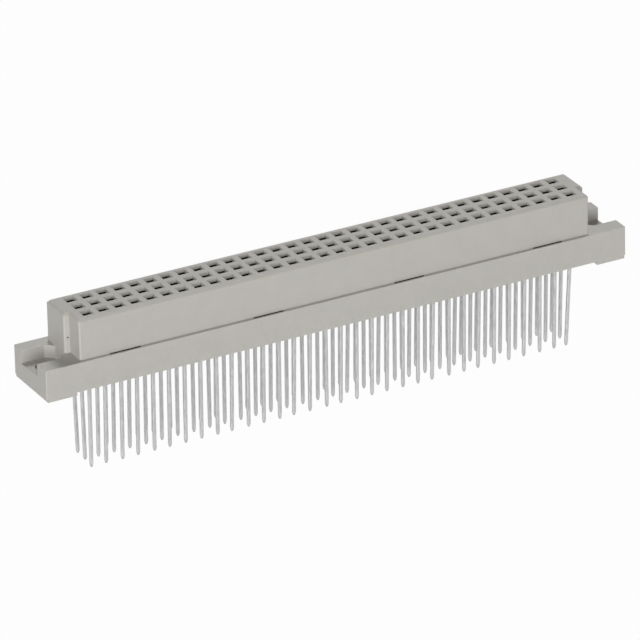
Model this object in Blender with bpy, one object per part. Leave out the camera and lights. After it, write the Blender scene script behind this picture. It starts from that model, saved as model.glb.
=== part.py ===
"""A three-row, 96-contact backplane connector with wrap posts, standing on its post tips.

X runs along the rows, Y across them towards the rear, and Z up through the mating face. The origin is
below the middle of the flange, on the plane of the post tips.
"""

import math

import bmesh
import bpy
from mathutils import Matrix

MM = 0.001

# Contact grid
POSITIONS = 32
ROWS = 3
PITCH = 2.54 * MM

# Clearance between pieces that fit into each other
FIT_GAP = 0.25 * MM

# Heights, counted from the board face of the feet
TAIL_LENGTH = 13.1 * MM
FLANGE_THICKNESS = 5.0 * MM
FOOT_HEIGHT = 0.51 * MM
BLOCK_HEIGHT = 6.25 * MM
BLOCK_CHAMFER = 0.36 * MM
BLOCK_CORNER_RADIUS = 0.25 * MM
FLANGE_EDGE = 0.12 * MM

# Lead-in, throat, headroom and spring chamber of one contact
LEAD_IN_WIDTH = 1.9 * MM
LEAD_IN_DEPTH = 0.45 * MM
THROAT_WIDTH = 1.4 * MM
THROAT_DEPTH = 0.6 * MM
CHAMBER_WIDTH = 1.7 * MM
HEADROOM_WIDTH = 2.1 * MM
HEADROOM_HEIGHT = 2.2 * MM

# Walls of the contact block outside the chambers
FRONT_WALL = 1.04 * MM
REAR_WALL = 0.79 * MM
END_WALL = 1.3 * MM
KEY_STEP = 0.88 * MM
KEY_STEP_SETBACK = 3.12 * MM

# Flange around the block
FIXING_INSET = 2.55 * MM
FIXING_TO_END = 2.35 * MM
FIXING_LINE_OFFSET = 0.29 * MM
FIXING_HOLE_DIAMETER = 2.6 * MM
POCKET_WIDTH = 5.2 * MM
POCKET_DEPTH = 2.03 * MM
POCKET_CORNER = 1.2 * MM
FOOT_LENGTH = 4.6 * MM
FOOT_INSET = 0.2 * MM
RIM_WALL = 0.33 * MM

# Terminal plate and its latches
PLATE_THICKNESS = 1.2 * MM
PLATE_END_MARGIN = 1.2 * MM
LATCH_COUNT = 4
LATCH_INSET = 4.6 * MM
WINDOW_LENGTH = 4.92 * MM
WINDOW_WIDTH = 0.345 * MM
CORE_MARK_DEPTH = 0.03 * MM
CORE_MARK_HEIGHT = 3.1 * MM
LEDGE_DEPTH = 0.335 * MM
LEDGE_DROP = 0.2 * MM
LATCH_WALL = 0.235 * MM
LATCH_HEIGHT = 1.3 * MM
HOOK_HEIGHT = 0.8 * MM

# Contact: square post below, two spring beams above
POST_WIDTH = 0.5 * MM
TIP_WIDTH = 0.24 * MM
TIP_LENGTH = 0.55 * MM
BEAM_WIDTH = 0.9 * MM
BEAM_THICKNESS = 0.25 * MM
BODY_HEIGHT = 2.1 * MM
BEAM_TOP_DROP = 0.6 * MM
PINCH_GAP = 0.44 * MM
PINCH_DROP = 1.1 * MM
FLARE = 0.13 * MM

# Places worked out from the sizes above
field_half_x = PITCH * (POSITIONS - 1) / 2
field_half_y = PITCH * (ROWS - 1) / 2
seat_z = TAIL_LENGTH
underside_z = seat_z + FOOT_HEIGHT
flange_top_z = seat_z + FLANGE_THICKNESS
block_top_z = flange_top_z + BLOCK_HEIGHT
throat_ledge_z = block_top_z - THROAT_DEPTH
plate_top_z = underside_z + PLATE_THICKNESS
recess_ceiling_z = plate_top_z + FIT_GAP

chamber_edge_x = field_half_x + CHAMBER_WIDTH / 2
chamber_edge_y = field_half_y + CHAMBER_WIDTH / 2
block_front_y = -(chamber_edge_y + FRONT_WALL)
block_rear_y = chamber_edge_y + REAR_WALL
block_front_half_x = chamber_edge_x + END_WALL
block_rear_half_x = block_front_half_x + KEY_STEP
key_step_y = block_front_y + KEY_STEP_SETBACK
end_latch_x = block_front_half_x - LATCH_INSET - WINDOW_LENGTH / 2

fixing_x = block_rear_half_x + FIXING_INSET
flange_half_x = fixing_x + FIXING_TO_END
channel_outer_y = -block_front_y + WINDOW_WIDTH
flange_half_y = channel_outer_y + RIM_WALL
recess_half_y = channel_outer_y - LEDGE_DEPTH
channel_inner_y = chamber_edge_y + LATCH_WALL
plate_half_x = field_half_x + PLATE_END_MARGIN
plate_half_y = recess_half_y - FIT_GAP
ledge_z = recess_ceiling_z - LEDGE_DROP
latch_top_z = ledge_z + FIT_GAP + LATCH_HEIGHT
channel_ceiling_z = latch_top_z + FIT_GAP

# How far a cutter stands past the surface that it opens
OVERCUT = 1.0 * MM
LEAD_IN_OVERCUT = 0.05 * MM


def clear_scene():
    for old in list(bpy.data.objects):
        bpy.data.objects.remove(old)


def plain_material(name, colour, roughness, metallic):
    material = bpy.data.materials.new(name)
    material.use_nodes = True
    shader = material.node_tree.nodes["Principled BSDF"]
    shader.inputs["Base Color"].default_value = (*colour, 1.0)
    shader.inputs["Roughness"].default_value = roughness
    shader.inputs["Metallic"].default_value = metallic
    return material


def new_object(name, mesh):
    made = bpy.data.objects.new(name, mesh)
    bpy.context.collection.objects.link(made)
    return made


def object_from_bmesh(name, shape):
    bmesh.ops.recalc_face_normals(shape, faces=shape.faces)
    mesh = bpy.data.meshes.new(name)
    shape.to_mesh(mesh)
    shape.free()
    return new_object(name, mesh)


def prism(name, outline, depth, to_world):
    """Extrude a flat outline of (u, v) points by depth along w, then place it with a matrix."""
    shape = bmesh.new()
    corners = [shape.verts.new((u, v, 0)) for u, v in outline]
    face = shape.faces.new(corners)
    grown = bmesh.ops.extrude_face_region(shape, geom=[face])
    top = [item for item in grown["geom"] if isinstance(item, bmesh.types.BMVert)]
    bmesh.ops.translate(shape, verts=top, vec=(0, 0, depth))
    shape.transform(to_world)
    return object_from_bmesh(name, shape)


def plan_prism(name, outline, low_z, high_z):
    """A prism whose outline is seen from above."""
    return prism(name, outline, high_z - low_z, Matrix.Translation((0, 0, low_z)))


def end_prism(name, outline, low_x, high_x):
    """A prism whose outline of (y, z) points is seen along X."""
    turned = Matrix(((0, 0, 1, low_x), (1, 0, 0, 0), (0, 1, 0, 0), (0, 0, 0, 1)))
    return prism(name, outline, high_x - low_x, turned)


def side_prism(name, outline, low_y, high_y):
    """A prism whose outline of (x, z) points is seen along Y."""
    turned = Matrix(((1, 0, 0, 0), (0, 0, 1, low_y), (0, 1, 0, 0), (0, 0, 0, 1)))
    return prism(name, outline, high_y - low_y, turned)


def bevel_edges(piece, chosen, width, segments):
    """Round the edges for which chosen(edge) is true."""
    shape = bmesh.new()
    shape.from_mesh(piece.data)
    edges = [edge for edge in shape.edges if chosen(edge)]
    bmesh.ops.bevel(shape, geom=edges, offset=width, segments=segments, profile=0.5, affect="EDGES")
    shape.to_mesh(piece.data)
    shape.free()


def reaches(edge, z):
    """Whether the edge has an end at height z or above it."""
    return max(v.co.z for v in edge.verts) > z - FLANGE_EDGE


def lies_at(edge, z):
    return all(abs(v.co.z - z) < FLANGE_EDGE for v in edge.verts)


def is_outer_upright(edge):
    low, high = sorted(v.co.z for v in edge.verts)
    return edge.is_convex and high - low > FLANGE_EDGE


def rectangle(low_x, high_x, low_y, high_y):
    return [(low_x, low_y), (high_x, low_y), (high_x, high_y), (low_x, high_y)]


def square_loft(name, sections):
    """Join square sections, each a (width, z) pair, into one closed solid around the Z axis."""
    shape = bmesh.new()
    rings = []
    for width, z in sections:
        half = width / 2
        corners = rectangle(-half, half, -half, half)
        rings.append([shape.verts.new((x, y, z)) for x, y in corners])
    for lower, upper in zip(rings, rings[1:]):
        for i in range(4):
            j = (i + 1) % 4
            shape.faces.new((lower[i], lower[j], upper[j], upper[i]))
    shape.faces.new(rings[0])
    shape.faces.new(rings[-1])
    return object_from_bmesh(name, shape)


def joined_copies(name, mesh, places):
    """One mesh that holds a copy of another at each (x, y) place."""
    shape = bmesh.new()
    for x, y in places:
        before = len(shape.verts)
        shape.from_mesh(mesh)
        shape.verts.ensure_lookup_table()
        bmesh.ops.translate(shape, verts=shape.verts[before:], vec=(x, y, 0))
    return object_from_bmesh(name, shape)


def boolean(target, tool, operation):
    """Join a tool to the target, or cut the target with it, and drop the tool."""
    step = target.modifiers.new(operation.lower(), "BOOLEAN")
    step.operation = operation
    step.object = tool
    if operation == "UNION":
        step.material_mode = "TRANSFER"
    graph = bpy.context.evaluated_depsgraph_get()
    finished = bpy.data.meshes.new_from_object(target.evaluated_get(graph))
    target.modifiers.clear()
    target.data = finished
    bpy.data.objects.remove(tool)


def row_places(row):
    y = -field_half_y + PITCH * row
    return [(-field_half_x + PITCH * position, y) for position in range(POSITIONS)]


def latch_centres():
    """The latches stand evenly between the two end ones, which keep their inset from the block's ends."""
    spacing = 2 * end_latch_x / (LATCH_COUNT - 1)
    return [-end_latch_x + spacing * i for i in range(LATCH_COUNT)]


def flange_body():
    """The flange seen from the front: a bar whose underside steps down to a foot at each end."""
    foot_outer_x = flange_half_x - FOOT_INSET
    foot_inner_x = foot_outer_x - FOOT_LENGTH
    right_half = [
        (foot_inner_x, underside_z),
        (foot_inner_x, seat_z),
        (foot_outer_x, seat_z),
        (foot_outer_x, underside_z),
        (flange_half_x, underside_z),
        (flange_half_x, flange_top_z),
    ]
    left_half = [(-x, z) for x, z in reversed(right_half)]
    flange = side_prism("insulator", right_half + left_half, -flange_half_y, flange_half_y)
    bevel_edges(flange, lambda edge: reaches(edge, flange_top_z), FLANGE_EDGE, 1)
    return flange


def contact_block():
    """The block above the flange, longer behind the key step and chamfered round its top edge."""
    right_half = [
        (block_front_half_x, block_front_y),
        (block_front_half_x, key_step_y),
        (block_rear_half_x, key_step_y),
        (block_rear_half_x, block_rear_y),
    ]
    left_half = [(-x, y) for x, y in reversed(right_half)]
    block = plan_prism("block", right_half + left_half, recess_ceiling_z + FIT_GAP, block_top_z)
    bevel_edges(block, lambda edge: lies_at(edge, block_top_z), BLOCK_CHAMFER, 1)
    bevel_edges(block, is_outer_upright, BLOCK_CORNER_RADIUS, 2)
    return block


def fixing_pocket(side):
    """The pocket at one end of the flange, open to the end face, with its two inner corners cut off."""
    inner_x = block_rear_half_x - FIT_GAP
    corner_x = block_rear_half_x + POCKET_CORNER
    corner_width = POCKET_WIDTH / 2 - (corner_x - inner_x)
    outer_x = flange_half_x + OVERCUT
    half = [
        (inner_x, corner_width),
        (corner_x, POCKET_WIDTH / 2),
        (outer_x, POCKET_WIDTH / 2),
    ]
    across = half + [(x, -y) for x, y in reversed(half)]
    outline = [(side * x, FIXING_LINE_OFFSET + y) for x, y in across]
    floor_z = flange_top_z - POCKET_DEPTH
    return plan_prism("pocket", outline, floor_z, flange_top_z + OVERCUT)


def fixing_hole(side):
    sides = 24
    radius = FIXING_HOLE_DIAMETER / 2
    turns = [2 * math.pi * i / sides for i in range(sides)]
    outline = [
        (side * fixing_x + radius * math.cos(a), FIXING_LINE_OFFSET + radius * math.sin(a)) for a in turns
    ]
    return plan_prism("fixing_hole", outline, seat_z - OVERCUT, flange_top_z)


def contact_cavity():
    """One contact's way through the insulator, from the mating face to the plate recess."""
    lead_in_rate = (LEAD_IN_WIDTH - THROAT_WIDTH) / LEAD_IN_DEPTH
    sections = [
        (CHAMBER_WIDTH, recess_ceiling_z - FIT_GAP / 2),
        (CHAMBER_WIDTH, throat_ledge_z - HEADROOM_HEIGHT),
        (HEADROOM_WIDTH, throat_ledge_z - HEADROOM_HEIGHT),
        (HEADROOM_WIDTH, throat_ledge_z),
        (THROAT_WIDTH, throat_ledge_z),
        (THROAT_WIDTH, block_top_z - LEAD_IN_DEPTH),
        (LEAD_IN_WIDTH + lead_in_rate * LEAD_IN_OVERCUT, block_top_z + LEAD_IN_OVERCUT),
    ]
    return square_loft("cavity", sections)


def plate_recess():
    half_x = plate_half_x + FIT_GAP
    outline = rectangle(-half_x, half_x, -recess_half_y, recess_half_y)
    return plan_prism("recess", outline, underside_z - OVERCUT, recess_ceiling_z)


def mirrored_to(side, outline):
    return [(side * y, z) for y, z in outline]


def latch_channel(centre_x, side):
    """The space that a latch stands in, with the ledge for its hook on the outer side."""
    profile = mirrored_to(side, rectangle(channel_inner_y, channel_outer_y, ledge_z, channel_ceiling_z))
    return end_prism("channel", profile, centre_x - WINDOW_LENGTH / 2, centre_x + WINDOW_LENGTH / 2)


def latch_window(centre_x, side):
    """The narrow window over the ledge, and the shallow mark that its core leaves up the block's face."""
    block_face_y = -block_front_y if side < 0 else block_rear_y
    low_z = channel_ceiling_z - FIT_GAP
    above = rectangle(
        block_face_y - CORE_MARK_DEPTH, block_face_y + WINDOW_WIDTH, low_z, flange_top_z + CORE_MARK_HEIGHT
    )
    profile = mirrored_to(side, above)
    return end_prism("window", profile, centre_x - WINDOW_LENGTH / 2, centre_x + WINDOW_LENGTH / 2)


def build_insulator(plastic):
    insulator = flange_body()
    insulator.data.materials.append(plastic)
    for side in (-1, 1):
        boolean(insulator, fixing_pocket(side), "DIFFERENCE")
        boolean(insulator, fixing_hole(side), "DIFFERENCE")
    boolean(insulator, contact_block(), "UNION")
    boolean(insulator, plate_recess(), "DIFFERENCE")
    cavity = contact_cavity()
    places = [place for row in range(ROWS) for place in row_places(row)]
    boolean(insulator, joined_copies("cavities", cavity.data, places), "DIFFERENCE")
    bpy.data.objects.remove(cavity)
    for side in (-1, 1):
        for centre_x in latch_centres():
            boolean(insulator, latch_channel(centre_x, side), "DIFFERENCE")
            boolean(insulator, latch_window(centre_x, side), "DIFFERENCE")


def contact_mesh(metal):
    """One contact at the origin of its row position: post, tip, body and two spring beams."""
    body_bottom_z = recess_ceiling_z
    body_top_z = body_bottom_z + BODY_HEIGHT
    beam_top_z = throat_ledge_z - BEAM_TOP_DROP
    pinch_z = beam_top_z - PINCH_DROP
    half_body = CHAMBER_WIDTH / 2 - FIT_GAP
    half_pinch = PINCH_GAP / 2
    right_half = [
        (half_body, body_bottom_z),
        (half_body, body_top_z),
        (half_pinch + BEAM_THICKNESS, pinch_z),
        (half_pinch + BEAM_THICKNESS + FLARE, beam_top_z),
        (half_pinch + FLARE, beam_top_z),
        (half_pinch, pinch_z),
        (half_body - BEAM_THICKNESS, body_top_z),
    ]
    left_half = [(-y, z) for y, z in reversed(right_half)]
    contact = end_prism("contact", right_half + left_half, -BEAM_WIDTH / 2, BEAM_WIDTH / 2)
    sections = [
        (TIP_WIDTH, 0),
        (POST_WIDTH, TIP_LENGTH),
        (POST_WIDTH, body_bottom_z + BODY_HEIGHT / 2),
    ]
    boolean(contact, square_loft("post", sections), "UNION")
    mesh = contact.data
    mesh.materials.append(metal)
    bpy.data.objects.remove(contact)
    return mesh


def latch(centre_x, side):
    """A latch arm on the plate's long edge, with a hook that stands over the insulator's ledge."""
    arm_outer_y = plate_half_y
    arm_inner_y = channel_inner_y + FIT_GAP
    hook_outer_y = channel_outer_y - FIT_GAP
    hook_bottom_z = ledge_z + FIT_GAP
    profile = [
        (arm_inner_y, underside_z + PLATE_THICKNESS / 2),
        (arm_outer_y, underside_z + PLATE_THICKNESS / 2),
        (arm_outer_y, hook_bottom_z),
        (hook_outer_y, hook_bottom_z),
        (arm_outer_y, hook_bottom_z + HOOK_HEIGHT),
        (arm_outer_y, latch_top_z),
        (arm_inner_y, latch_top_z),
    ]
    half = WINDOW_LENGTH / 2 - FIT_GAP
    return end_prism("latch", mirrored_to(side, profile), centre_x - half, centre_x + half)


def build_terminal_plate(contact, plastic):
    """The plate with its latches, open for the front row and fused to the other rows' contacts."""
    outline = rectangle(-plate_half_x, plate_half_x, -plate_half_y, plate_half_y)
    plate = plan_prism("terminal_plate", outline, underside_z, plate_top_z)
    plate.data.materials.append(plastic)
    for side in (-1, 1):
        for centre_x in latch_centres():
            boolean(plate, latch(centre_x, side), "UNION")
    hole_width = POST_WIDTH + 2 * FIT_GAP
    hole = square_loft("hole", [(hole_width, underside_z - OVERCUT), (hole_width, plate_top_z + OVERCUT)])
    boolean(plate, joined_copies("holes", hole.data, row_places(0)), "DIFFERENCE")
    bpy.data.objects.remove(hole)
    carried = [place for row in range(1, ROWS) for place in row_places(row)]
    carried_contacts = joined_copies("carried_contacts", contact, carried)
    carried_contacts.data.materials.append(contact.materials[0])
    boolean(plate, carried_contacts, "UNION")


def build_front_contacts(contact):
    for number, (x, y) in enumerate(row_places(0), start=1):
        made = new_object(f"contact_front_{number:02d}", contact)
        made.location = (x, y, 0)


def main():
    clear_scene()
    plastic = plain_material("moulded_grey_plastic", (0.5, 0.48, 0.44), 0.5, 0.0)
    metal = plain_material("tinned_contact", (0.68, 0.68, 0.67), 0.38, 1.0)
    contact = contact_mesh(metal)
    build_insulator(plastic)
    build_terminal_plate(contact, plastic)
    build_front_contacts(contact)


main()
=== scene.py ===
# %% [markdown]
# # A three-row backplane connector, dressed in cells
#
# The real part is one long pale grey moulding that holds 96 spring contacts. A plug's pins go in through the
# square holes on top, and each contact ends in a square wrap post below. This file loads the measured CAD
# model as a frame that can't move, models each real piece over it with Blender's own tools, and gives every
# surface a finish. X runs along the rows of contacts, Y across them, and Z up. All lengths are in metres, so
# most numbers are written as millimetres times `mm`.

# %% Load the measured frame
import math

import bpy
from mathutils import Euler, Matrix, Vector


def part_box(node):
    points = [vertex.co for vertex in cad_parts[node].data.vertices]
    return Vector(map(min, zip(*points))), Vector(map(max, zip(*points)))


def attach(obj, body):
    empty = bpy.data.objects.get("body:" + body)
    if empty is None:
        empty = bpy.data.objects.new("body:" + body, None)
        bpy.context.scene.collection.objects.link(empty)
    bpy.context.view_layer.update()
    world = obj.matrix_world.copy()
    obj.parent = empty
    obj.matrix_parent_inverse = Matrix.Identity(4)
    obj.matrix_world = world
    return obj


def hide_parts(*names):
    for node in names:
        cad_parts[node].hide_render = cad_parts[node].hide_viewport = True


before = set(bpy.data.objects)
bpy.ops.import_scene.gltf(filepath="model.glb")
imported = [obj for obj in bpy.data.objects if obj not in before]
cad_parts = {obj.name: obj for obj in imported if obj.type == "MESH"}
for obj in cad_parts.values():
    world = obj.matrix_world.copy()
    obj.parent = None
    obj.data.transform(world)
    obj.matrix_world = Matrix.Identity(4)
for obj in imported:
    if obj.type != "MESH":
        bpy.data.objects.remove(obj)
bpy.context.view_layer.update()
mm = 0.001

# %% [markdown]
# ## The camera
#
# A long lens shows a small part with almost parallel edges. The place, the direction and the small roll were
# worked out from the 96 holes, whose 2.54 mm spacing is known, so the camera stands where the photographer's
# did. The camera is made first, because every later decision about detail depends on what it sees.

# %% Place the camera
bpy.ops.object.camera_add(location=(-0.455030, -0.866006, 0.477451))
camera = bpy.context.object
camera.name = "studio_camera"
camera.data.sensor_width = 36
camera.data.lens = 421.91
camera.data.clip_end = 20
looking = Vector((0.419529, 0.799837, -0.429252))
roll = Euler((0, 0, math.radians(-1.3785))).to_quaternion()
camera.rotation_mode = "QUATERNION"
camera.rotation_quaternion = looking.to_track_quat("-Z", "Y") @ roll
bpy.context.scene.camera = camera
print("camera is", round(camera.location.length, 3), "m from the origin")

# %% [markdown]
# ## Working by hand, in code
#
# Every operator in Blender acts on what is selected, and loading the frame leaves all of it selected. So each
# step starts from an empty selection. A new block is a cube at its real size and place, with its place moved
# into its mesh, so that patterns in the materials don't slide.

# %% Helpers for starting a piece
def select_only(piece=None):
    """Leave edit mode, empty the selection, and select one piece."""
    if bpy.context.object and bpy.context.object.mode != "OBJECT":
        bpy.ops.object.mode_set(mode="OBJECT")
    bpy.ops.object.select_all(action="DESELECT")
    if piece:
        piece.select_set(True)
        bpy.context.view_layer.objects.active = piece


def settle(name):
    """Name the new primitive and move its place into its mesh."""
    made = bpy.context.object
    made.name = name
    made.data.name = name
    bpy.ops.object.transform_apply(location=True, rotation=True, scale=True)
    return made


def block_between(name, low, high):
    select_only()
    middle = [(a + b) / 2 for a, b in zip(low, high)]
    size = [b - a for a, b in zip(low, high)]
    bpy.ops.mesh.primitive_cube_add(size=1, location=middle, scale=size)
    return settle(name)


# %% [markdown]
# Faces are picked by where their middle is and which way they look, and edges by where their two ends are.
# A small tolerance takes up rounding.

# %% Helpers for picking faces and edges
near = 0.004 * mm


def close(a, b):
    return abs(a - b) < near


def pick_faces(piece, wanted):
    """Select the faces for which wanted(middle, normal) is true, and stay in edit mode."""
    select_only(piece)
    bpy.ops.object.mode_set(mode="EDIT")
    bpy.ops.mesh.select_mode(type="FACE")
    bpy.ops.mesh.select_all(action="DESELECT")
    bpy.ops.object.mode_set(mode="OBJECT")
    for face in piece.data.polygons:
        face.select = wanted(face.center, face.normal)
    bpy.ops.object.mode_set(mode="EDIT")


def pick_edges(piece, wanted):
    """Select the edges for which wanted(one end, other end) is true, and stay in edit mode."""
    select_only(piece)
    bpy.ops.object.mode_set(mode="EDIT")
    bpy.ops.mesh.select_mode(type="EDGE")
    bpy.ops.mesh.select_all(action="DESELECT")
    bpy.ops.object.mode_set(mode="OBJECT")
    points = piece.data.vertices
    for edge in piece.data.edges:
        a, b = edge.vertices
        edge.select = wanted(points[a].co, points[b].co)
    bpy.ops.object.mode_set(mode="EDIT")


def slice_at(piece, axis, places):
    """Score the mesh with planes across one axis, so that parts of a face can be picked."""
    across = [float(axis == i) for i in range(3)]
    select_only(piece)
    bpy.ops.object.mode_set(mode="EDIT")
    for place in places:
        bpy.ops.mesh.select_all(action="SELECT")
        bpy.ops.mesh.bisect(plane_co=[place * v for v in across], plane_no=across)
    bpy.ops.object.mode_set(mode="OBJECT")


def pull(shift):
    """Extrude the picked faces by a shift."""
    bpy.ops.mesh.extrude_region_move(TRANSFORM_OT_translate={"value": shift})


def scale_about(centre, factors):
    bpy.ops.transform.resize(value=factors, center_override=centre)


# %% [markdown]
# A mould's cavity is the finished shape, and a steel core stands wherever a hole will be. Cutting with a
# Boolean modifier follows that: the tool is the core. The modifier is applied at once and the tool thrown
# away.

# %% Helpers for cutting, joining and rounding
def combine(piece, tool, operation):
    select_only(piece)
    step = piece.modifiers.new(operation.lower(), "BOOLEAN")
    step.operation = operation
    step.object = tool
    step.solver = "EXACT"
    bpy.ops.object.modifier_apply(modifier=step.name)
    bpy.data.objects.remove(tool)


def repeat(tool, count, offset):
    """Lay out copies of a tool in a row, in one mesh."""
    select_only(tool)
    step = tool.modifiers.new("row", "ARRAY")
    step.count = count
    step.use_relative_offset = False
    step.use_constant_offset = True
    step.constant_offset_displace = offset
    bpy.ops.object.modifier_apply(modifier=step.name)


def soften(piece, radius, segments):
    """Round every edge that turns by more than 30 degrees."""
    select_only(piece)
    step = piece.modifiers.new("soften", "BEVEL")
    step.limit_method = "ANGLE"
    step.angle_limit = math.radians(30)
    step.width = radius
    step.segments = segments
    bpy.ops.object.modifier_apply(modifier=step.name)


def shade(piece):
    """Smooth the rounded edges and keep the flat faces flat."""
    select_only(piece)
    bpy.ops.object.shade_smooth_by_angle(angle=math.radians(35))
    step = piece.modifiers.new("flat_faces", "WEIGHTED_NORMAL")
    step.keep_sharp = True
    bpy.ops.object.modifier_apply(modifier=step.name)
    print(piece.name, len(piece.data.polygons), "faces")


# %% [markdown]
# ## The sizes that the pieces share
#
# The frame gives the moulding's outer box. The levels inside it are counted from the board face of its feet.
# The plate and its latches stand a quarter of a millimetre clear of the moulding, which is the slack.

# %% Read the levels from the frame
low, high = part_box("insulator")
end_x, side_y = high.x, high.y
seat_z, block_top_z = low.z, high.z
foot_high, flange_thick, pocket_deep = 0.51 * mm, 5.0 * mm, 2.03 * mm
plate_thick, slack = 1.2 * mm, 0.25 * mm
underside_z = seat_z + foot_high
flange_top_z = seat_z + flange_thick
pocket_floor_z = flange_top_z - pocket_deep
plate_top_z = underside_z + plate_thick
recess_top_z = plate_top_z + slack
pitch, columns, rows = 2.54 * mm, 32, 3
first_x, first_y = -(columns - 1) / 2 * pitch, -pitch
print("flange top at", round(flange_top_z / mm, 2), "mm, block top at", round(block_top_z / mm, 2), "mm")

# %% [markdown]
# ## The flange of the moulding
#
# The flange is a bar, 94.6 mm long, with a shallow foot under each end. It starts as a block. Four cuts
# score its underside where the feet begin and end, and the two faces between them are pulled down. The four
# upright corners are rounded more than its other edges, because they catch the light as a thin bright line.

# %% Model the flange and its feet
insulator = block_between("insulator_moulding", (-end_x, -side_y, underside_z), (end_x, side_y, flange_top_z))
foot_near, foot_far = 42.5 * mm, end_x - 0.2 * mm
corner_round = 0.18 * mm


def flange_corner(a, b):
    return abs(a.z - b.z) > 3 * mm and close(abs(a.x), end_x) and close(abs(b.x), end_x)


slice_at(insulator, 0, (-foot_far, -foot_near, foot_near, foot_far))
pick_faces(insulator, lambda middle, normal: normal.z < -0.9 and foot_near < abs(middle.x) < foot_far)
pull((0, 0, seat_z - underside_z))
pick_edges(insulator, flange_corner)
bpy.ops.mesh.bevel(offset=corner_round, segments=3, affect="EDGES")
select_only()
print("flange with feet:", len(insulator.data.polygons), "faces")

# %% [markdown]
# A fixing pocket is cut into each end: open to the end face, with its two inner corners cut off at 45
# degrees. The tool is a block whose two inner upright edges are bevelled, and it stands an overcut past each
# face that it opens, because a cut that ends exactly in a face can fail. A plain round hole goes through the
# pocket's floor.

# %% Cut the fixing pockets
block_rear_x = 42.40 * mm
fixing_x, fixing_y = 44.95 * mm, 0.29 * mm
pocket_half, pocket_corner, hole_radius = 2.6 * mm, 1.45 * mm, 1.3 * mm
overcut = 1 * mm
for side in (-1, 1):
    inner, outer = side * (block_rear_x - 0.25 * mm), side * (end_x + overcut)
    tool = block_between(
        "pocket_core",
        (min(inner, outer), fixing_y - pocket_half, pocket_floor_z),
        (max(inner, outer), fixing_y + pocket_half, flange_top_z + overcut),
    )
    pick_edges(tool, lambda a, b: close(a.x, inner) and close(b.x, inner) and close(a.y, b.y))
    bpy.ops.mesh.bevel(offset=pocket_corner, segments=1, affect="EDGES")
    combine(insulator, tool, "DIFFERENCE")
    select_only()
    bpy.ops.mesh.primitive_cylinder_add(
        vertices=48, radius=hole_radius, depth=8 * mm, location=(side * fixing_x, fixing_y, seat_z)
    )
    combine(insulator, settle("fixing_core"), "DIFFERENCE")
print("pockets cut:", len(insulator.data.polygons), "faces")

# %% [markdown]
# ## The contact block
#
# The block's rear part is longer than its front part. That step is the key that stops a plug from going in
# the wrong way round. The block starts as the long rear part, and the middle of its front face is pulled
# forward. Its top edge is chamfered first, so that the rounding of the upright corners then runs over the
# chamfer as it does on a machined mould. Last comes a small round pit, which the photograph shows in the left
# key strip. It is cut with an ico sphere, whose faces are all much the same size, and before the holes, while
# the mesh is still simple.

# %% Model the contact block
block_front_x = 41.52 * mm
block_front_y, key_y, block_rear_y = -4.43 * mm, -1.31 * mm, 4.18 * mm
contact_block = block_between(
    "contact_block",
    (-block_rear_x, key_y, recess_top_z + 0.25 * mm),
    (block_rear_x, block_rear_y, block_top_z),
)
slice_at(contact_block, 0, (-block_front_x, block_front_x))
pick_faces(contact_block, lambda middle, normal: normal.y < -0.9 and abs(middle.x) < block_front_x)
pull((0, block_front_y - key_y, 0))
select_only()

# %% Chamfer its top and round its corners
top_chamfer, block_corner, edge_round, pit_radius = 0.36 * mm, 0.25 * mm, 0.08 * mm, 0.13 * mm


def round_the_top(a, b):
    return close(a.z, block_top_z) and close(b.z, block_top_z)


def outer_corner(a, b):
    upright = abs(a.z - b.z) > 0.2 * mm
    in_the_key = abs(a.y - key_y) < 0.5 * mm and abs(a.x) < block_front_x + 0.5 * mm
    return upright and not in_the_key


pick_faces(contact_block, lambda middle, normal: normal.z > 0.9)
bpy.ops.mesh.dissolve_limited(angle_limit=math.radians(1))
pick_edges(contact_block, round_the_top)
bpy.ops.mesh.bevel(offset=top_chamfer, segments=1, affect="EDGES")
pick_edges(contact_block, outer_corner)
bpy.ops.mesh.bevel(offset=block_corner, segments=4, affect="EDGES")
select_only()
combine(insulator, contact_block, "UNION")
soften(insulator, edge_round, 3)
pit = Vector((-41.83 * mm, key_y, 20.5 * mm))
select_only()
bpy.ops.mesh.primitive_ico_sphere_add(subdivisions=2, radius=pit_radius, location=pit)
combine(insulator, settle("pit_core"), "DIFFERENCE")
print("one moulding:", len(insulator.data.polygons), "faces")

# %% [markdown]
# ## The 96 contact cavities
#
# Each cavity has a sloped lead-in that guides the pin, a short throat, some headroom for the springs to open,
# and a chamber for the contact's body. The tool is grown from the throat: its top face is pulled up and
# widened for the lead-in, whose last short steps break its upper edge, and its bottom face is widened and
# pulled down for the room below. One tool is repeated along X and Y, so 96 cavities are cut in one step.

# %% Grow one cavity core
throat, lead_in = (1.32 * mm, 1.12 * mm), (1.68 * mm, 1.64 * mm)
headroom, chamber = (2.1 * mm, 2.1 * mm), (1.7 * mm, 1.7 * mm)
throat_top_z = block_top_z - 0.45 * mm
ledge_z = block_top_z - 0.6 * mm
room_z = ledge_z - 2.2 * mm
chamber_bottom_z = recess_top_z - 0.1 * mm
half_x, half_y = throat[0] / 2, throat[1] / 2
core = block_between(
    "cavity_core",
    (first_x - half_x, first_y - half_y, ledge_z),
    (first_x + half_x, first_y + half_y, throat_top_z),
)


def grow(level, height, old, new):
    """Pull the face at one level by a height, and bring its outline from its old size to a new one."""
    pick_faces(core, lambda middle, normal: close(middle.z, level) and abs(normal.z) > 0.9)
    pull((0, 0, height))
    scale_about((first_x, first_y, level + height), (new[0] / old[0], new[1] / old[1], 1))
    select_only(core)


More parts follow.
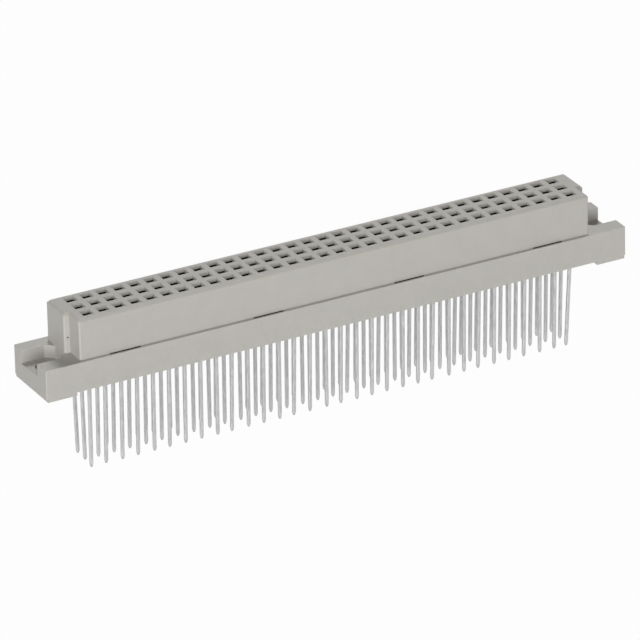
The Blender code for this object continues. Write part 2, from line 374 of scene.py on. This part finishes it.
edge_start = tuple(width - 0.07 * mm for width in lead_in)
edge_end = tuple(width + 0.04 * mm for width in lead_in)
above = tuple(width + 0.14 * mm for width in lead_in)
grow(throat_top_z, 0.41 * mm, throat, edge_start)
grow(block_top_z - 0.04 * mm, 0.04 * mm, edge_start, edge_end)
grow(block_top_z, 0.03 * mm, edge_end, above)
grow(ledge_z, 0, throat, headroom)
grow(ledge_z, -2.2 * mm, headroom, headroom)
grow(room_z, 0, headroom, chamber)
grow(room_z, chamber_bottom_z - room_z, chamber, chamber)
print("cavity core:", len(core.data.polygons), "faces")

# %% Cut the cavities
repeat(core, columns, (pitch, 0, 0))
repeat(core, rows, (0, pitch, 0))
combine(insulator, core, "DIFFERENCE")
print("cavities cut:", len(insulator.data.polygons), "faces")

# %% [markdown]
# ## The plate recess, the latch channels and their windows
#
# A flat plate closes the underside and holds the contacts in. It snaps in with eight latches, four on each
# long side. A mould makes the ledge for such a latch with a thin core from above, and that core leaves the
# narrow windows in the flange top and a faint mark up the face of the block. The channel is cut first, then
# the mark with the window's mouth, and last the slot between mouth and channel. The slot stands a few
# hundredths of a millimetre further in than the mouth, because two cuts that share a plane can break a mesh.

# %% Cut the recess and the latch channels
recess_x, recess_y = 40.82 * mm, 4.44 * mm
window_long, window_spacing = 4.92 * mm, 22.97 * mm
channel_inner, channel_outer = 3.625 * mm, 4.775 * mm
latch_ledge_z = recess_top_z - 0.2 * mm
latch_top_z = latch_ledge_z + 1.55 * mm
channel_top_z = latch_top_z + slack
slot_top_z = flange_top_z - 0.04 * mm
mark_deep, mark_high, window_wide = 0.012 * mm, 3.1 * mm, 0.4 * mm
first_window = -1.5 * window_spacing - window_long / 2
tool = block_between(
    "recess_core", (-recess_x, -recess_y, underside_z - overcut), (recess_x, recess_y, recess_top_z)
)
combine(insulator, tool, "DIFFERENCE")
print("recess cut:", len(insulator.data.polygons), "faces")


def cut_slots(y_a, y_b, z_low, z_high):
    tool = block_between(
        "slot_core", (first_window, min(y_a, y_b), z_low), (first_window + window_long, max(y_a, y_b), z_high)
    )
    repeat(tool, 4, (window_spacing, 0, 0))
    combine(insulator, tool, "DIFFERENCE")
    print("slots cut:", len(insulator.data.polygons), "faces")


for side, face_y in ((-1, block_front_y), (1, block_rear_y)):
    cut_slots(side * channel_inner, side * channel_outer, latch_ledge_z, channel_top_z)
    mark_y, window_y = face_y - side * mark_deep, face_y + side * window_wide
    inner_y, outer_y = face_y - side * 0.05 * mm, face_y + side * 0.37 * mm
    cut_slots(mark_y, window_y, slot_top_z, flange_top_z + mark_high)
    cut_slots(inner_y, outer_y, channel_top_z - 0.25 * mm, slot_top_z + 0.01 * mm)
shade(insulator)

# %% [markdown]
# ## The plate that holds the contacts
#
# The plate is a thin moulding with 96 square holes. Each latch is a short arm on its long edge with a hook.
# The arm starts as a block, its outer face above the ledge is pulled out for the hook, and the hook's upper
# edge is moved in, so that it slopes and rides past the ledge when the plate is pressed home.

# %% Model the plate and its latches
plate_x, plate_y = 40.57 * mm, 4.19 * mm
plate = block_between("contact_plate", (-plate_x, -plate_y, underside_z), (plate_x, plate_y, plate_top_z))
soften(plate, 0.1 * mm, 2)
arm_inner, hook_out = channel_inner + slack, channel_outer - slack
hook_z = latch_ledge_z + slack
hook_top_z = hook_z + 0.8 * mm
arm_long = window_long - 2 * slack


def is_hook_edge(a, b):
    return all(close(v.z, hook_top_z) and abs(v.y) > plate_y + near for v in (a, b))


for side in (-1, 1):
    inner, outer = side * arm_inner, side * plate_y
    start = first_window + slack
    latch = block_between(
        "latch",
        (start, min(inner, outer), underside_z + 0.6 * mm),
        (start + arm_long, max(inner, outer), latch_top_z),
    )
    slice_at(latch, 2, (hook_z, hook_top_z))
    pick_faces(latch, lambda middle, normal: normal.y * side > 0.9 and hook_z < middle.z < hook_top_z)
    pull((0, side * (hook_out - plate_y), 0))
    pick_edges(latch, is_hook_edge)
    bpy.ops.transform.translate(value=(0, -side * (hook_out - plate_y) * 0.85, 0))
    repeat(latch, 4, (window_spacing, 0, 0))
    combine(plate, latch, "UNION")
print("plate with latches:", len(plate.data.polygons), "faces")

# %% Pierce the plate for the posts
hole = 0.31 * mm
tool = block_between(
    "hole_core",
    (first_x - hole, first_y - hole, underside_z - overcut),
    (first_x + hole, first_y + hole, plate_top_z + overcut),
)
repeat(tool, columns, (pitch, 0, 0))
repeat(tool, rows, (0, pitch, 0))
combine(plate, tool, "DIFFERENCE")
shade(plate)

# %% [markdown]
# ## The contacts
#
# A contact is stamped from strip, folded and tin plated. Below it is a square post for a wire wrap, with its
# corners just broken, so that they grip the wire. Above are a body and two springs that lean together and
# flare at the end. The model is one mesh of a few dozen faces, because it is used 96 times. The post comes
# first: a block, its four long edges bevelled, its bottom face drawn in to a blunt point.

# %% Model one contact's post
post, post_corner = 0.25 * mm, 0.1 * mm
body_bottom_z, body_top_z = recess_top_z, recess_top_z + 2.1 * mm
contact = block_between("contact_pattern", (-post, -post, 0.5 * mm), (post, post, body_bottom_z))
pick_edges(contact, lambda a, b: abs(a.z - b.z) > 1 * mm)
bpy.ops.mesh.bevel(offset=post_corner, segments=1, affect="EDGES")
pick_faces(contact, lambda middle, normal: normal.z < -0.9)
pull((0, 0, -0.4 * mm))
scale_about((0, 0, 0.1 * mm), (0.66, 0.66, 1))
pull((0, 0, -0.1 * mm))
scale_about((0, 0, 0), (0.7, 0.7, 1))
slice_at(contact, 2, (underside_z,))
print("post:", len(contact.data.polygons), "faces")

# %% [markdown]
# The springs are bent from a flat blank, so each one is a strip: its lower end is part of the body, its
# middle leans in to the pinch, and its tip leans out. Each strip is a block, pulled up twice with a sideways
# shift.

# %% Add the body and the springs
body_half, strip, spring_half_x = 0.6 * mm, 0.25 * mm, 0.45 * mm
tip_z = ledge_z - 0.6 * mm
pinch_z = tip_z - 1.1 * mm
body = block_between(
    "body", (-spring_half_x, -body_half, body_bottom_z), (spring_half_x, body_half, body_top_z)
)
slice_at(body, 1, (-body_half + strip, body_half - strip))
for side in (-1, 1):
    root_y = body_half - strip / 2
    pinch_y = 0.22 * mm + strip / 2
    pick_faces(
        body,
        lambda middle, normal: normal.z > 0.9
        and close(middle.z, body_top_z)
        and close(middle.y, side * root_y),
    )
    pull((0, side * (pinch_y - root_y), pinch_z - body_top_z))
    pull((0, side * 0.13 * mm, tip_z - pinch_z))
combine(contact, body, "UNION")
print("contact:", len(contact.data.polygons), "faces")

# %% [markdown]
# Real posts are never quite straight. The lists give each tip's lean along X, in hundredths of a millimetre.
# Most tips stand up to 0.45 mm out of line, and the last post of the front row leans in by 0.78 mm. The front
# and middle rows follow the tips that show in the photograph. The rear row wasn't measured, so all its posts
# but the first take the middle row's leans in another order. Each copy has its own mesh, and the part below
# the moulding is sheared.

# %% Copy the contact to its 96 places
front_lean = (
    -12, -28, -20, -24, -12, -23, -19, -15, -10, -34, -14, -22, -16, -38, -31, -8,
    -29, -20, -25, -30, -20, -25, -43, -16, -19, -37, -24, -30, -30, -18, -27, -78,
)
middle_lean = (
    16, -26, -28, -28, -22, -20, -16, -12, -6, -16, -10, -19, -27, -20, -11, -18,
    -25, -45, -20, -41, -14, -33, -22, -25, -42, -30, -31, -33, -32, -34, -26, -39,
)
rear_lean = (24,) + tuple(middle_lean[(7 * i + 3) % 31 + 1] for i in range(31))
row_leans = (("front", front_lean), ("middle", middle_lean), ("rear", rear_lean))
contacts = []
for row_number, (row, leans) in enumerate(row_leans):
    for number, lean in enumerate(leans, start=1):
        x = first_x + (number - 1) * pitch
        y = first_y + row_number * pitch
        copy = bpy.data.objects.new(f"wrap_contact_{row}_{number:02d}", contact.data.copy())
        bpy.context.collection.objects.link(copy)
        sideways = 0.03 * mm * math.sin(2.1 * number + y / mm)
        for point in copy.data.vertices:
            below = max(0.0, 1 - point.co.z / underside_z)
            point.co += Vector((x + lean * 0.01 * mm * below, y + sideways * below, 0))
        contacts.append(copy)
bpy.data.objects.remove(contact)
print(len(contacts), "contacts")

# %% [markdown]
# ## Finishes: moulded plastic and painted shade
#
# Glass-filled plastic isn't one flat grey. The melt leaves faint flow patches a few millimetres across, the
# glass leaves a fine speckle, and the gloss varies with it. The plate is moulded from the same kind of
# plastic, so the effect is a node group that each plastic material uses with its own values.

# %% Build the moulded surface group
def add_node(tree, kind, place, **settings):
    node = tree.nodes.new(kind)
    node.location = place
    for name, value in settings.items():
        setattr(node, name, value)
    return node


def noise_at(tree, vector, scale, detail, place):
    noise = add_node(tree, "ShaderNodeTexNoise", place)
    noise.inputs["Scale"].default_value = scale
    noise.inputs["Detail"].default_value = detail
    tree.links.new(vector, noise.inputs["Vector"])
    return noise.outputs["Fac"]


def spread(tree, value, low, high, place):
    """Map the middle of a noise to a range of values."""
    ramp = add_node(tree, "ShaderNodeMapRange", place)
    for socket, number in zip(("From Min", "From Max", "To Min", "To Max"), (0.3, 0.7, low, high)):
        ramp.inputs[socket].default_value = number
    tree.links.new(value, ramp.inputs["Value"])
    return ramp.outputs["Result"]


moulded = bpy.data.node_groups.new("moulded_surface", "ShaderNodeTree")
for name, kind, value in (
    ("Vector", "NodeSocketVector", None),
    ("Plain", "NodeSocketColor", (0.5, 0.5, 0.5, 1)),
    ("Flow", "NodeSocketColor", (0.5, 0.5, 0.5, 1)),
    ("Speckle", "NodeSocketColor", (0.5, 0.5, 0.5, 1)),
    ("Roughness", "NodeSocketFloat", 0.5),
):
    socket = moulded.interface.new_socket(name=name, in_out="INPUT", socket_type=kind)
    if value is not None:
        socket.default_value = value
for name, kind in (
    ("Color", "NodeSocketColor"),
    ("Roughness", "NodeSocketFloat"),
    ("Height", "NodeSocketFloat"),
):
    moulded.interface.new_socket(name=name, in_out="OUTPUT", socket_type=kind)

# %% Wire the moulded surface group
given = add_node(moulded, "NodeGroupInput", (-900, 0))
result = add_node(moulded, "NodeGroupOutput", (700, 0))
flow = noise_at(moulded, given.outputs["Vector"], 420, 3, (-650, 250))
speckle = noise_at(moulded, given.outputs["Vector"], 5200, 2, (-650, 0))
grain = noise_at(moulded, given.outputs["Vector"], 14000, 1, (-650, -250))


def blend_colours(tree, factor, first, second, place):
    mix = add_node(tree, "ShaderNodeMix", place, data_type="RGBA")
    tree.links.new(factor, mix.inputs["Factor"])
    tree.links.new(first, mix.inputs[6])
    tree.links.new(second, mix.inputs[7])
    return mix.outputs[2]


in_patch = spread(moulded, flow, 0.0, 1.0, (-400, 300))
in_dot = spread(moulded, speckle, -0.6, 0.7, (-400, 50))
patches = blend_colours(moulded, in_patch, given.outputs["Plain"], given.outputs["Flow"], (-100, 250))
dots = blend_colours(moulded, in_dot, patches, given.outputs["Speckle"], (150, 150))
gloss = add_node(moulded, "ShaderNodeMath", (150, -150), operation="ADD")
moulded.links.new(spread(moulded, speckle, -0.06, 0.06, (-400, -150)), gloss.inputs[0])
moulded.links.new(given.outputs["Roughness"], gloss.inputs[1])
moulded.links.new(dots, result.inputs["Color"])
moulded.links.new(gloss.outputs["Value"], result.inputs["Roughness"])
moulded.links.new(grain, result.inputs["Height"])
print("moulded_surface:", len(moulded.nodes), "nodes")

# %% [markdown]
# Three materials come from that group. The moulding is the paler plastic and the plate a little darker. The
# third is
# painted shade: a nearly black colour on the walls deep inside the holes and windows, which are the same pale
# plastic lying in shade. Almost no light comes back out of them, and the openings look like dark slits.

# %% Make the two plastics and the painted shade
def moulded_plastic_and_painted_shade(name, plain, flow, speckle, roughness):
    material = bpy.data.materials.new(name)
    material.use_nodes = True
    tree = material.node_tree
    shader = tree.nodes["Principled BSDF"]
    where = add_node(tree, "ShaderNodeTexCoord", (-800, 0))
    surface = add_node(tree, "ShaderNodeGroup", (-500, 0), node_tree=moulded)
    tree.links.new(where.outputs["Object"], surface.inputs["Vector"])
    for socket, colour in (("Plain", plain), ("Flow", flow), ("Speckle", speckle)):
        surface.inputs[socket].default_value = (*colour, 1)
    surface.inputs["Roughness"].default_value = roughness
    bump = add_node(tree, "ShaderNodeBump", (-250, -250))
    bump.inputs["Strength"].default_value = 0.25
    bump.inputs["Distance"].default_value = 0.02 * mm
    tree.links.new(surface.outputs["Height"], bump.inputs["Height"])
    tree.links.new(surface.outputs["Color"], shader.inputs["Base Color"])
    tree.links.new(surface.outputs["Roughness"], shader.inputs["Roughness"])
    tree.links.new(bump.outputs["Normal"], shader.inputs["Normal"])
    shader.inputs["IOR"].default_value = 1.5
    return material


insulator_plastic = moulded_plastic_and_painted_shade(
    "insulator_plastic", (0.525, 0.51, 0.476), (0.5, 0.487, 0.453), (0.565, 0.55, 0.52), 0.5
)
plate_plastic = moulded_plastic_and_painted_shade(
    "plate_plastic", (0.46, 0.448, 0.405), (0.44, 0.428, 0.385), (0.5, 0.49, 0.45), 0.55
)
# Painted shade: near black for the deep walls, which are really the pale plastic in shade. Its low specular
# below keeps it dark.
deep_plastic = moulded_plastic_and_painted_shade(
    "deep_plastic", (0.02, 0.019, 0.014), (0.016, 0.015, 0.011), (0.03, 0.028, 0.022), 0.85
)
deep_plastic.node_tree.nodes["Principled BSDF"].inputs["Specular IOR Level"].default_value = 0.15
print("plastics:", [plastic.name for plastic in (insulator_plastic, plate_plastic, deep_plastic)])

# %% [markdown]
# ## Finishes: tin plate
#
# The posts are drawn wire with a dull tin plate. Drawing leaves fine streaks along the post, so the noise is
# stretched along Z by a Mapping node: many changes across the post, few along it.

# %% Make the tin plate
tin = bpy.data.materials.new("tin_plate")
tin.use_nodes = True
tree = tin.node_tree
shader = tree.nodes["Principled BSDF"]
shader.inputs["Metallic"].default_value = 1.0
where = add_node(tree, "ShaderNodeTexCoord", (-1100, 0))
stretch = add_node(tree, "ShaderNodeMapping", (-900, 0))
stretch.inputs["Scale"].default_value = (1, 1, 0.08)
tree.links.new(where.outputs["Object"], stretch.inputs["Vector"])
streaks = noise_at(tree, stretch.outputs["Vector"], 9000, 2, (-680, 150))
clouds = noise_at(tree, where.outputs["Object"], 900, 3, (-680, -150))
tone = add_node(tree, "ShaderNodeValToRGB", (-400, 150))
tone.color_ramp.elements[0].position = 0.3
tone.color_ramp.elements[0].color = (0.42, 0.42, 0.42, 1)
tone.color_ramp.elements[1].position = 0.7
tone.color_ramp.elements[1].color = (0.62, 0.62, 0.62, 1)
tree.links.new(streaks, tone.inputs["Fac"])
tree.links.new(tone.outputs["Color"], shader.inputs["Base Color"])
tree.links.new(spread(tree, clouds, 0.34, 0.5, (-400, -150)), shader.inputs["Roughness"])
bump = add_node(tree, "ShaderNodeBump", (-250, -350))
bump.inputs["Strength"].default_value = 0.2
bump.inputs["Distance"].default_value = 0.01 * mm
tree.links.new(streaks, bump.inputs["Height"])
tree.links.new(bump.outputs["Normal"], shader.inputs["Normal"])
print("tin_plate:", len(tree.nodes), "nodes")

# %% [markdown]
# ## Every piece in its place
#
# Nothing on this connector moves, so every piece rides on the one body, root. Each piece says which CAD nodes
# it stands for. The plate's node also carries the middle and rear rows, so those contacts stand for it too.
# The moulding has a second material slot, for the painted shade on the faces deep inside it, and they are
# picked by their place.

# %% Dress the pieces and let them ride
def finish_piece(piece, material, slot, *nodes):
    piece.data.materials.clear()
    piece.data.materials.append(material)
    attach(piece, "root")
    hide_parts(*nodes)


field_x, field_y = 40.6 * mm, 3.61 * mm


def in_painted_shade(middle):
    """Whether a face gets the near-black painted shade: inside a contact cavity, down a latch channel, or the
    pit's wall.
    """
    along, across = abs(middle.x), abs(middle.y)
    if close(middle.z, flange_top_z):
        return False
    if (middle - pit).length < pit_radius + 0.01 * mm and middle.y > key_y + near:
        return True
    in_cavity = across < field_y and along < field_x and recess_top_z + near < middle.z < throat_top_z
    in_channel = channel_inner - near < across < channel_outer + near and along < field_x
    return in_cavity or (in_channel and latch_ledge_z - near < middle.z < slot_top_z)


finish_piece(insulator, insulator_plastic, "insulator", "insulator")
# The second slot paints near-black shade on the deep faces of the cavities and channels, and on the pit's
# wall.
insulator.data.materials.append(deep_plastic)
painted_shade_faces = [face for face in insulator.data.polygons if in_painted_shade(face.center)]
for face in painted_shade_faces:
    face.material_index = 1
print(len(painted_shade_faces), "deep faces")
finish_piece(plate, plate_plastic, "insulator", "terminal_plate")
for copy in contacts:
    row, number = copy.name.split("_")[2:]
    stands_for = f"contact_front_{number}" if row == "front" else "terminal_plate"
    finish_piece(copy, tin, "contact", stands_for)
print(len(contacts) + 2, "pieces ride on root")

# %% [markdown]
# ## The floor and the white surround
#
# The photograph's background is plain white. The floor keeps a soft shadow: seen by the camera it is mostly
# white light of strength 1, with a little of the real, shaded floor mixed in. A shiny or a clear surface
# would show the same white, so glossy and transmission rays count as well.

# %% Make the floor
def seen_directly(tree, place):
    """1 for camera, glossy and transmission rays, and 0 for the light that falls on things."""
    path = add_node(tree, "ShaderNodeLightPath", place)
    total = path.outputs["Is Camera Ray"]
    for name in ("Is Glossy Ray", "Is Transmission Ray"):
        larger = add_node(tree, "ShaderNodeMath", (place[0] + 200, place[1]), operation="MAXIMUM")
        tree.links.new(total, larger.inputs[0])
        tree.links.new(path.outputs[name], larger.inputs[1])
        total = larger.outputs["Value"]
    return total


white_share = 0.97
select_only()
bpy.ops.mesh.primitive_plane_add(size=6, location=(0, 0, -0.02 * mm))
floor = settle("studio_floor")
paper = bpy.data.materials.new("studio_paper")
paper.use_nodes = True
tree = paper.node_tree
tree.nodes["Principled BSDF"].inputs["Base Color"].default_value = (0.8, 0.8, 0.8, 1)
tree.nodes["Principled BSDF"].inputs["Roughness"].default_value = 0.9
white = add_node(tree, "ShaderNodeEmission", (0, -300))
keep = add_node(tree, "ShaderNodeMath", (-200, 300), operation="MULTIPLY")
keep.inputs[1].default_value = white_share
tree.links.new(seen_directly(tree, (-700, 300)), keep.inputs[0])
mix = add_node(tree, "ShaderNodeMixShader", (300, 100))
tree.links.new(keep.outputs["Value"], mix.inputs[0])
tree.links.new(tree.nodes["Principled BSDF"].outputs["BSDF"], mix.inputs[1])
tree.links.new(white.outputs["Emission"], mix.inputs[2])
tree.links.new(mix.outputs["Shader"], tree.nodes["Material Output"].inputs["Surface"])
floor.data.materials.append(paper)
print("floor at", round(floor.bound_box[0][2] / mm, 3), "mm")

# %% [markdown]
# ## Light
#
# The front faces are the brightest, the top is a little darker, and the flange top in front of the block is
# darker still. So most light comes from a low lamp in front, right of the camera, and grazes the flange top.
# It is large, so that some of its light also reaches the sloped walls of the holes. A second lamp stands high
# behind, where the block keeps it off that strip. A third, low on the left, lifts the end faces and the walls
# inside the pocket. The surround fills the rest, a little warm, as the shaded faces are.

# %% Light the scene
fill_light = 0.085
world = bpy.data.worlds.new("studio_world")
world.use_nodes = True
bpy.context.scene.world = world
tree = world.node_tree
fill = tree.nodes["Background"]
direct = seen_directly(tree, (-700, 200))
tint = add_node(tree, "ShaderNodeMix", (-200, 0), data_type="RGBA")
tint.inputs[6].default_value = (1, 0.96, 0.84, 1)
tint.inputs[7].default_value = (1, 1, 1, 1)
strength = add_node(tree, "ShaderNodeMapRange", (-200, 200))
strength.inputs["To Min"].default_value = fill_light
strength.inputs["To Max"].default_value = 1.0
tree.links.new(direct, tint.inputs["Factor"])
tree.links.new(direct, strength.inputs["Value"])
tree.links.new(tint.outputs[2], fill.inputs["Color"])
tree.links.new(strength.outputs["Result"], fill.inputs["Strength"])


def soft_lamp(name, place, aim, size, power):
    select_only()
    bpy.ops.object.light_add(type="AREA", location=place)
    lamp = bpy.context.object
    lamp.name = name
    lamp.data.shape = "DISK"
    lamp.data.size = size
    lamp.data.energy = power
    lamp.rotation_euler = (Vector(aim) - Vector(place)).to_track_quat("-Z", "Y").to_euler()


middle = (0, 0, 0.015)
soft_lamp("front_lamp", (-0.213, -0.853, 0.205), middle, 0.55, 5.0)
soft_lamp("left_lamp", (-0.850, -0.270, 0.110), middle, 0.2, 2.4)
soft_lamp("rear_top_lamp", (0.289, 0.501, 0.704), middle, 0.25, 2.9)

# %% [markdown]
# ## The view transform
#
# The scene shows its colours through the Standard view transform.

# %% Set the view transform
bpy.context.scene.view_settings.view_transform = "Standard"
